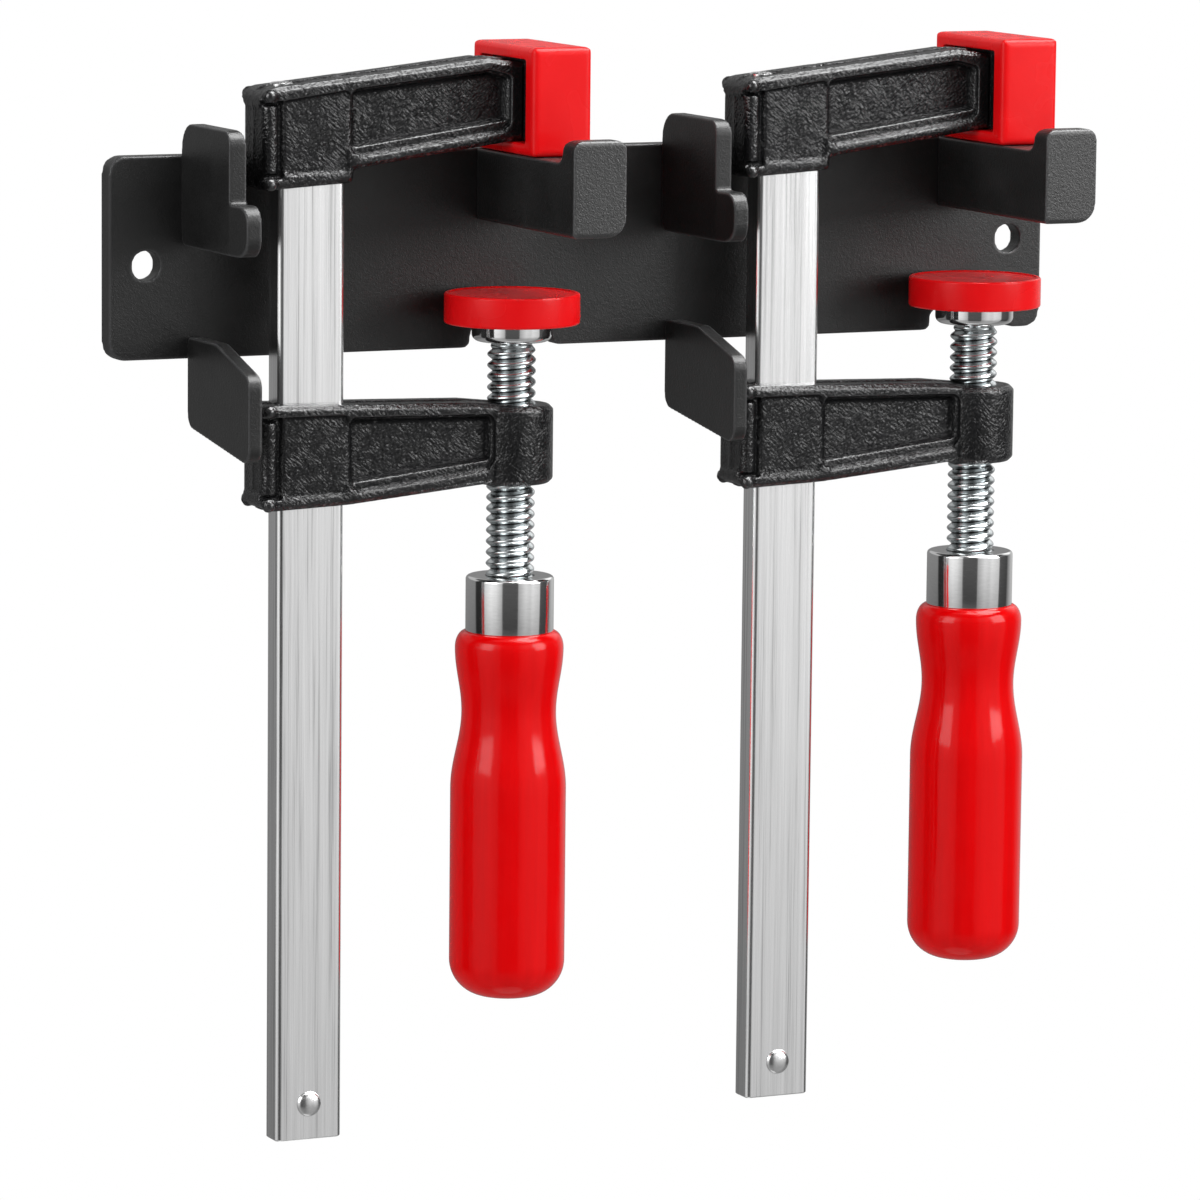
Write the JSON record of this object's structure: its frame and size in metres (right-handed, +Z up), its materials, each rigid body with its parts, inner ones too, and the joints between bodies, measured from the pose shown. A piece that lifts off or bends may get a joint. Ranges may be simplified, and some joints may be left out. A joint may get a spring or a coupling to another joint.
{
  "type": "clamp rack",
  "caption": "Black steel wall rack whose hooks and side tabs hold red-handled screw clamps with bright steel bars.",
  "frame": {"origin": "middle of the line between the two wall screws, on the back face of the wall plate", "axes": "+X to the right along the plate, +Y into the wall, +Z up; the front faces -Y"},
  "size_m": [0.281, 0.0693, 0.2946],
  "materials": {
    "powder_coat": "satin black powder coat with a fine wrinkle",
    "cast_black": "coarse black painted casting",
    "red_plastic": "satin red plastic",
    "bar_steel": "drawn steel, fine grain along the bar",
    "bright_steel": "bright plated steel",
    "zinc_thread": "zinc plated steel",
    "red_lacquer": "glossy red lacquer over turned wood"
  },
  "bodies": {
    "rack": {"wall_plate": "powder_coat", "left_upper_tab": "powder_coat", "left_lower_tab": "powder_coat", "left_hook": "powder_coat", "right_upper_tab": "powder_coat", "right_lower_tab": "powder_coat", "right_hook": "powder_coat"},
    "left_clamp": {"left_bar": "bar_steel", "left_stop_rivet": "bright_steel", "left_fixed_jaw": "cast_black", "left_fixed_jaw_cap": "red_plastic"},
    "left_jaw": {"left_sliding_jaw": "cast_black"},
    "left_ball": {"left_ball_stud": "zinc_thread"},
    "left_screw": {"left_spindle": "zinc_thread", "left_ferrule": "bright_steel", "left_handle": "red_lacquer"},
    "left_foot": {"left_swivel_foot": "bright_steel", "left_pad": "red_plastic"},
    "right_clamp": {"right_bar": "bar_steel", "right_stop_rivet": "bright_steel", "right_fixed_jaw": "cast_black", "right_fixed_jaw_cap": "red_plastic"},
    "right_jaw": {"right_sliding_jaw": "cast_black"},
    "right_ball": {"right_ball_stud": "zinc_thread"},
    "right_screw": {"right_spindle": "zinc_thread", "right_ferrule": "bright_steel", "right_handle": "red_lacquer"},
    "right_foot": {"right_swivel_foot": "bright_steel", "right_pad": "red_plastic"}
  },
  "joints": [
    {"name": "left_lift_off", "type": "slide", "parent": "rack", "child": "left_clamp", "axis": [0, 0, 1], "range_m": [0, 0.008]},
    {"name": "left_jaw_slide", "type": "slide", "parent": "left_clamp", "child": "left_jaw", "axis": [0, 0, 1], "range_m": [-0.158, 0.003]},
    {"name": "left_spindle_travel", "type": "slide", "parent": "left_jaw", "child": "left_ball", "axis": [0, 0, 1], "range_m": [-0.0145, 0.006]},
    {"name": "left_spindle_turn", "type": "hinge", "parent": "left_ball", "child": "left_screw", "pos_m": [-0.0317, -0.0248, -0.02235], "axis": [0, 0, 1], "range_deg": [-1745, 725]},
    {"name": "left_foot_tilt", "type": "hinge", "parent": "left_ball", "child": "left_foot", "pos_m": [-0.0317, -0.0248, -0.0171], "axis": [0, 1, 0], "range_deg": [-5, 5]},
    {"name": "right_lift_off", "type": "slide", "parent": "rack", "child": "right_clamp", "axis": [0, 0, 1], "range_m": [0, 0.008]},
    {"name": "right_jaw_slide", "type": "slide", "parent": "right_clamp", "child": "right_jaw", "axis": [0, 0, 1], "range_m": [-0.158, 0.003]},
    {"name": "right_spindle_travel", "type": "slide", "parent": "right_jaw", "child": "right_ball", "axis": [0, 0, 1], "range_m": [-0.0145, 0.006]},
    {"name": "right_spindle_turn", "type": "hinge", "parent": "right_ball", "child": "right_screw", "pos_m": [0.10969, -0.0248, -0.02235], "axis": [0, 0, 1], "range_deg": [-1745, 725]},
    {"name": "right_foot_tilt", "type": "hinge", "parent": "right_ball", "child": "right_foot", "pos_m": [0.10969, -0.0248, -0.0171], "axis": [0, 1, 0], "range_deg": [-5, 5]}
  ],
  "couplings": [
    {"joint": "left_spindle_turn", "follows": "left_spindle_travel", "rad_per_m": 2094.4},
    {"joint": "right_spindle_turn", "follows": "right_spindle_travel", "rad_per_m": 2094.4}
  ]
}
